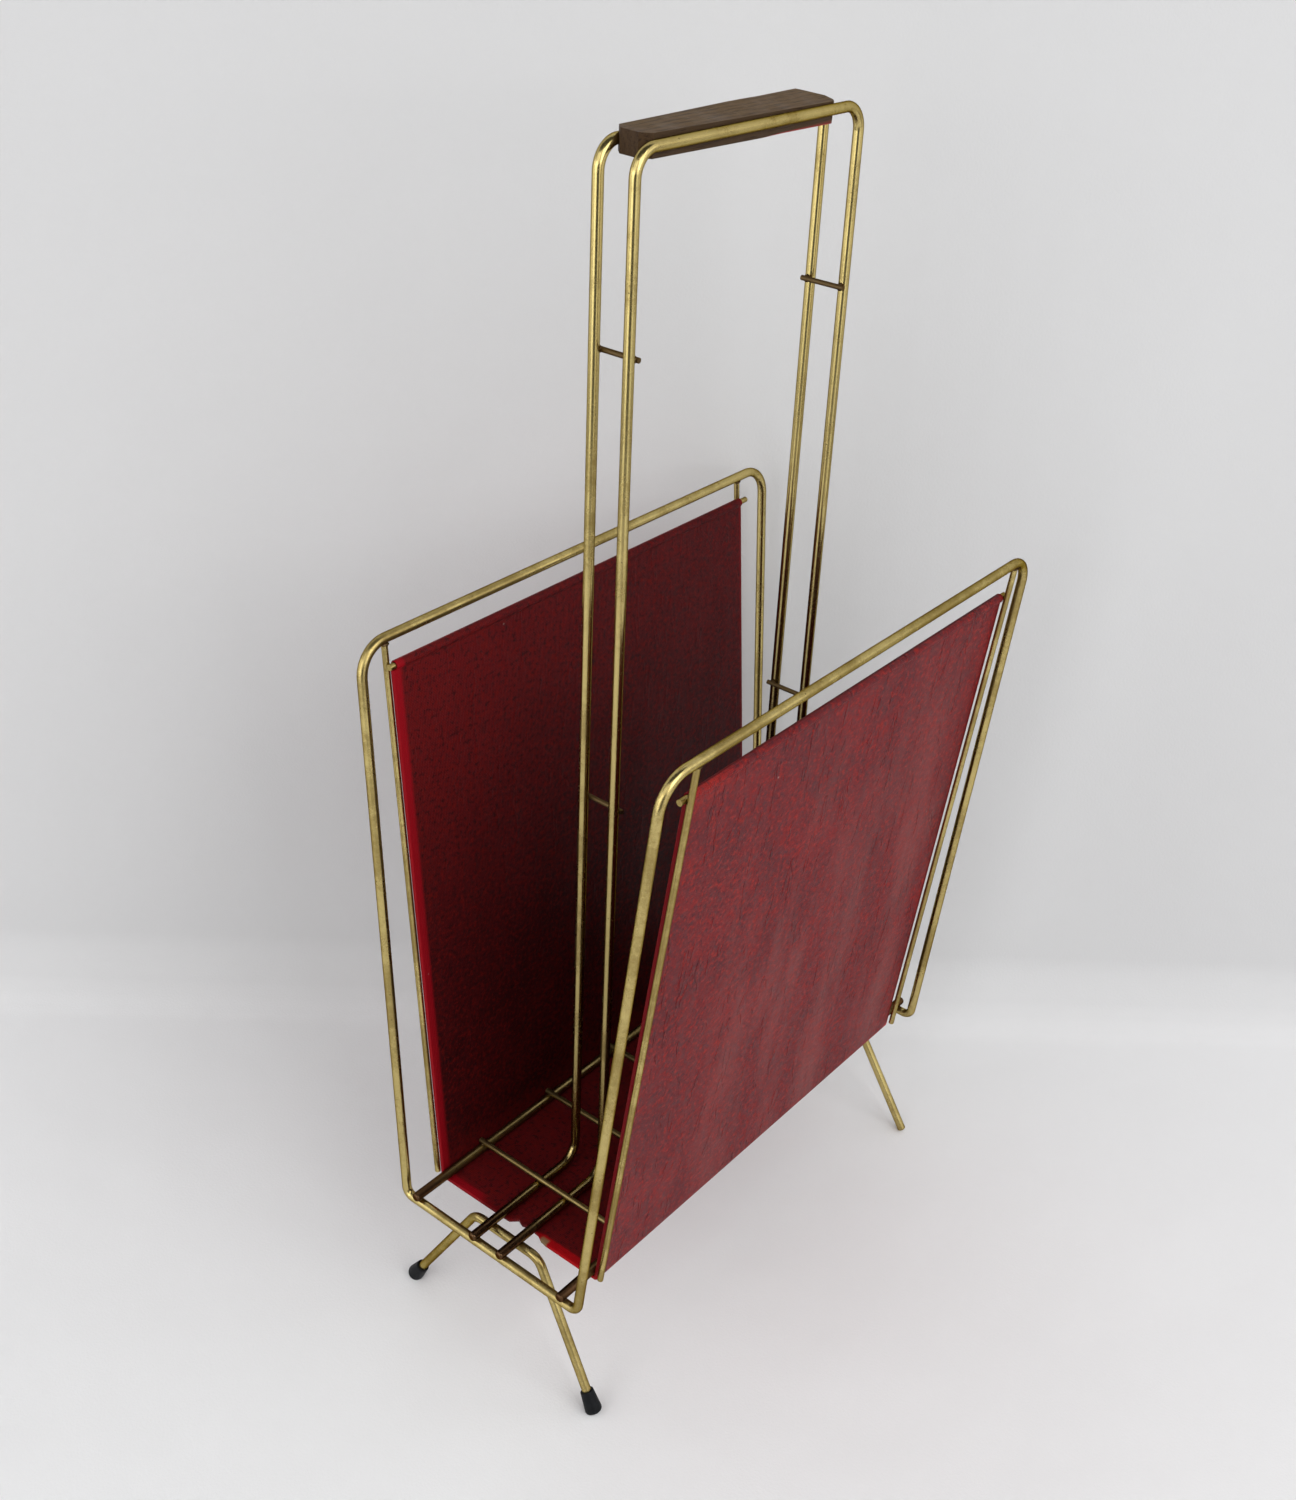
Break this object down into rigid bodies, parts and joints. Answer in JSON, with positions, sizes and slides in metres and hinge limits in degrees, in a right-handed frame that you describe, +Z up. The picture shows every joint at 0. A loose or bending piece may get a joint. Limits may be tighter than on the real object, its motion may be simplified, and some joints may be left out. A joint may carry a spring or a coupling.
{
  "type": "magazine file holder",
  "caption": "Free-standing wire magazine rack with a vinyl sling, splayed wire legs and a tall double-wire carrying handle with a wooden grip.",
  "frame": {"origin": "On the floor, under the middle of the rack.", "axes": "X across the rack, Y along its length from the capped front legs (-Y) to the rear legs (+Y), Z up."},
  "size_m": [0.1688, 0.308, 0.6023],
  "materials": {
    "thick_brass": "tarnished brass plating on thick wire",
    "thin_brass": "tarnished brass plating on thin wire",
    "red_vinyl": "woven-grain vinyl, satin",
    "walnut": "oiled, worn",
    "black_rubber": "matt moulded rubber"
  },
  "bodies": {
    "root": {"bottom_rail_left": "thick_brass", "bottom_rail_right": "thick_brass", "floor_wire_1": "thin_brass", "floor_wire_2": "thin_brass", "floor_wire_3": "thin_brass", "floor_wire_4": "thin_brass", "floor_wire_5": "thin_brass", "foot_cap_front_left": "black_rubber", "foot_cap_front_right": "black_rubber", "frame_loop": "thick_brass", "handle_grip": "walnut", "handle_spacer_front_lower": "thin_brass", "handle_spacer_front_upper": "thin_brass", "handle_spacer_rear_lower": "thin_brass", "handle_spacer_rear_upper": "thin_brass", "handle_wire_left": "thick_brass", "handle_wire_right": "thick_brass", "leg_wire_front": "thick_brass", "leg_wire_rear": "thick_brass", "side_stay_front_left": "thin_brass", "side_stay_front_right": "thin_brass", "side_stay_rear_left": "thin_brass", "side_stay_rear_right": "thin_brass", "sling_sheet": "red_vinyl", "top_rod_left": "thin_brass", "top_rod_right": "thin_brass"}
  },
  "joints": []
}
